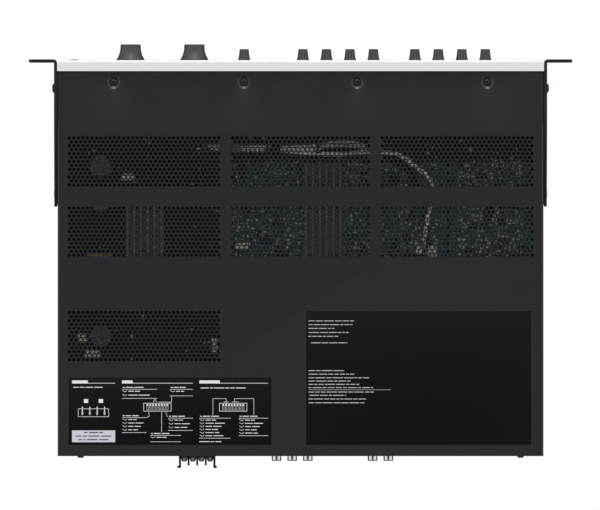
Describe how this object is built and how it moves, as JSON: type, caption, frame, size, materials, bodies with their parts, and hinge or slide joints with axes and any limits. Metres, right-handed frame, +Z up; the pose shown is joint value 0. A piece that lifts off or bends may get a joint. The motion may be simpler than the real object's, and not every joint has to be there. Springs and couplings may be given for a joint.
{
  "type": "power amplifier",
  "caption": "Two-unit rack power amplifier: steel case with perforated lid, light front with turning knobs and a push button, rack brackets, rear terminals and phono sockets.",
  "frame": {"origin": "middle of the footprint's bounding box, on the surface that the feet stand on", "axes": "+Z up, the front with the knobs faces -Y, +X along the width towards the power button"},
  "size_m": [0.48, 0.375, 0.0925],
  "materials": {
    "cover_steel": "fine powder coat, dark grey",
    "bracket_steel": "satin powder coat, near black",
    "chassis_steel": "zinc plated sheet",
    "rear_steel": "fine powder coat",
    "fascia_aluminium": "satin anodised, light grey",
    "knob_plastic": "soft matt black",
    "shaft_steel": "turned",
    "button_plastic": "satin",
    "lamp_lens": "tinted clear",
    "screw_black": "black zinc",
    "screw_bright": "nickel",
    "foot_rubber": "matt",
    "terminal_plastic": "moulded black",
    "contact_metal": "nickel plated",
    "socket_green": "moulded",
    "switch_blue": "moulded",
    "case_plastic": "moulded",
    "board_green": "solder mask",
    "post_brass": "turned",
    "ferrite_tape": "tape over ferrite",
    "capacitor_sleeve": "shrink sleeve",
    "heatsink_aluminium": "black anodised",
    "coil_core": "ferrite",
    "wire_white": "soft insulation",
    "plug_white": "nylon",
    "tie_black": "nylon"
  },
  "bodies": {
    "chassis": {"fascia": "fascia_aluminium", "front_subpanel": "chassis_steel", "chassis_tray": "chassis_steel", "top_cover": "cover_steel", "rear_panel": "rear_steel", "rubber_feet": "foot_rubber", "rack_bracket_right": "bracket_steel", "rack_bracket_left": "bracket_steel", "cover_screws": "screw_black", "bracket_screws": "screw_black", "speaker_terminals": "terminal_plastic", "terminal_screws": "screw_bright", "phono_blocks": "terminal_plastic", "phono_shells": "contact_metal", "mains_inlet": "terminal_plastic", "inlet_blades": "contact_metal", "input_sockets": "socket_green", "socket_pins": "contact_metal", "setup_switches": "switch_blue", "potentiometers": "case_plastic", "power_switch": "case_plastic", "status_lamps": "lamp_lens", "amplifier_board": "board_green", "power_board": "board_green", "input_board": "board_green", "board_posts": "post_brass", "board_screws": "screw_bright", "knob_board": "board_green", "power_transformer": "ferrite_tape", "power_capacitors": "capacitor_sleeve", "power_heatsink": "heatsink_aluminium", "amplifier_heatsink": "heatsink_aluminium", "output_coils": "coil_core", "wire_harness": "wire_white", "harness_plugs": "plug_white", "cable_ties": "tie_black"},
    "large_knob_1_body": {"large_knob_1": "knob_plastic", "large_knob_shaft_1": "shaft_steel"},
    "large_knob_2_body": {"large_knob_2": "knob_plastic", "large_knob_shaft_2": "shaft_steel"},
    "small_knob_1_body": {"small_knob_1": "knob_plastic", "small_knob_shaft_1": "shaft_steel"},
    "small_knob_2_body": {"small_knob_2": "knob_plastic", "small_knob_shaft_2": "shaft_steel"},
    "small_knob_3_body": {"small_knob_3": "knob_plastic", "small_knob_shaft_3": "shaft_steel"},
    "small_knob_4_body": {"small_knob_4": "knob_plastic", "small_knob_shaft_4": "shaft_steel"},
    "small_knob_5_body": {"small_knob_5": "knob_plastic", "small_knob_shaft_5": "shaft_steel"},
    "small_knob_6_body": {"small_knob_6": "knob_plastic", "small_knob_shaft_6": "shaft_steel"},
    "small_knob_7_body": {"small_knob_7": "knob_plastic", "small_knob_shaft_7": "shaft_steel"},
    "small_knob_8_body": {"small_knob_8": "knob_plastic", "small_knob_shaft_8": "shaft_steel"},
    "small_knob_9_body": {"small_knob_9": "knob_plastic", "small_knob_shaft_9": "shaft_steel"},
    "power_button_body": {"power_button": "button_plastic"}
  },
  "joints": [
    {"name": "large_knob_1_turn", "type": "hinge", "parent": "chassis", "child": "large_knob_1_body", "pos_m": [0.1504, -0.1735, 0.0485], "axis": [0, 1, 0], "range_deg": [-150, 150]},
    {"name": "large_knob_2_turn", "type": "hinge", "parent": "chassis", "child": "large_knob_2_body", "pos_m": [0.094, -0.1735, 0.0485], "axis": [0, 1, 0], "range_deg": [-150, 150]},
    {"name": "small_knob_1_turn", "type": "hinge", "parent": "chassis", "child": "small_knob_1_body", "pos_m": [0.0499, -0.1735, 0.0485], "axis": [0, 1, 0], "range_deg": [-150, 150]},
    {"name": "small_knob_2_turn", "type": "hinge", "parent": "chassis", "child": "small_knob_2_body", "pos_m": [-0.0021, -0.1735, 0.0485], "axis": [0, 1, 0], "range_deg": [-150, 150]},
    {"name": "small_knob_3_turn", "type": "hinge", "parent": "chassis", "child": "small_knob_3_body", "pos_m": [-0.0229, -0.1735, 0.0485], "axis": [0, 1, 0], "range_deg": [-150, 150]},
    {"name": "small_knob_4_turn", "type": "hinge", "parent": "chassis", "child": "small_knob_4_body", "pos_m": [-0.0437, -0.1735, 0.0485], "axis": [0, 1, 0], "range_deg": [-150, 150]},
    {"name": "small_knob_5_turn", "type": "hinge", "parent": "chassis", "child": "small_knob_5_body", "pos_m": [-0.0645, -0.1735, 0.0485], "axis": [0, 1, 0], "range_deg": [-150, 150]},
    {"name": "small_knob_6_turn", "type": "hinge", "parent": "chassis", "child": "small_knob_6_body", "pos_m": [-0.1011, -0.1735, 0.0485], "axis": [0, 1, 0], "range_deg": [-150, 150]},
    {"name": "small_knob_7_turn", "type": "hinge", "parent": "chassis", "child": "small_knob_7_body", "pos_m": [-0.1219, -0.1735, 0.0485], "axis": [0, 1, 0], "range_deg": [-150, 150]},
    {"name": "small_knob_8_turn", "type": "hinge", "parent": "chassis", "child": "small_knob_8_body", "pos_m": [-0.1427, -0.1735, 0.0485], "axis": [0, 1, 0], "range_deg": [-150, 150]},
    {"name": "small_knob_9_turn", "type": "hinge", "parent": "chassis", "child": "small_knob_9_body", "pos_m": [-0.1635, -0.1735, 0.0485], "axis": [0, 1, 0], "range_deg": [-150, 150]},
    {"name": "power_button_press", "type": "slide", "parent": "chassis", "child": "power_button_body", "axis": [0, 1, 0], "range_m": [0, 0.0025], "stiffness_N_per_m": 300}
  ]
}
